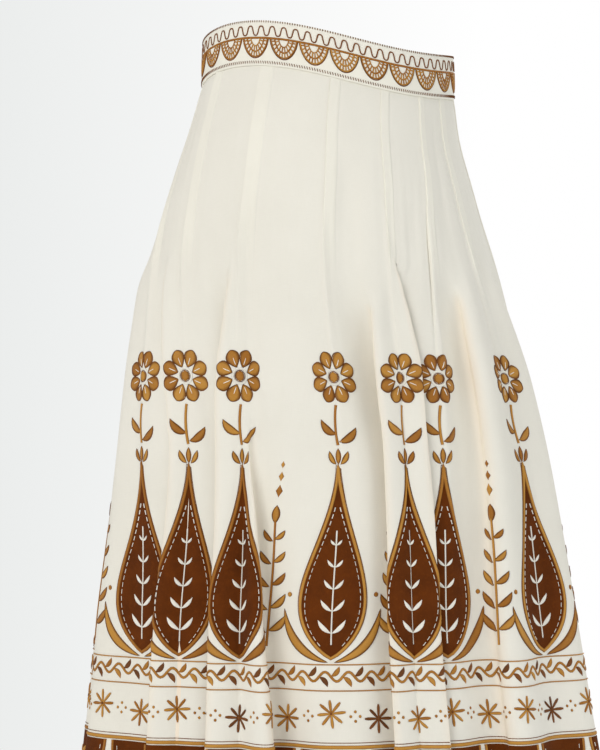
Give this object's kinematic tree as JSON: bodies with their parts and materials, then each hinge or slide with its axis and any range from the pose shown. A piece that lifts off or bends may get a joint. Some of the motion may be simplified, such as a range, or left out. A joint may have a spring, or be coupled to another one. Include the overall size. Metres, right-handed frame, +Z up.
{
  "type": "embroidered skirt",
  "caption": "Full cotton skirt with a fitted embroidered waistband and knife pleats that open into deep folds, hollow, as worn.",
  "frame": {"origin": "middle of the waistband's ring, where the wearer's waist holds the skirt", "axes": "+Z up, -Y out of the front, +X to the wearer's left"},
  "size_m": [0.5392, 0.4057, 0.874],
  "materials": {
    "cotton": "cream plain-weave cotton, matt",
    "band_cotton": "cream cotton with golden brown and dark brown embroidery",
    "golden_thread": "golden brown satin stitch with a soft sheen",
    "dark_thread": "dark brown outline stitch",
    "white_thread": "ivory stitching",
    "brown_applique": "dark brown cotton applique, matt",
    "zip_tape": "cream woven zip tape",
    "zip_metal": "dull antique brass"
  },
  "bodies": {
    "skirt": {"front": "cotton", "back_left": "cotton", "back_right": "cotton", "waistband_front": "band_cotton", "waistband_back_left": "band_cotton", "waistband_back_right": "band_cotton", "zip_tape": "zip_tape", "zip_slider": "zip_metal"},
    "pull": {"zip_pull": "zip_metal"}
  },
  "joints": [
    {"name": "pull_hinge", "type": "hinge", "parent": "skirt", "child": "pull", "pos_m": [0, 0.1016, 0.0039], "axis": [1, 0, 0], "range_deg": [0, 170]}
  ]
}
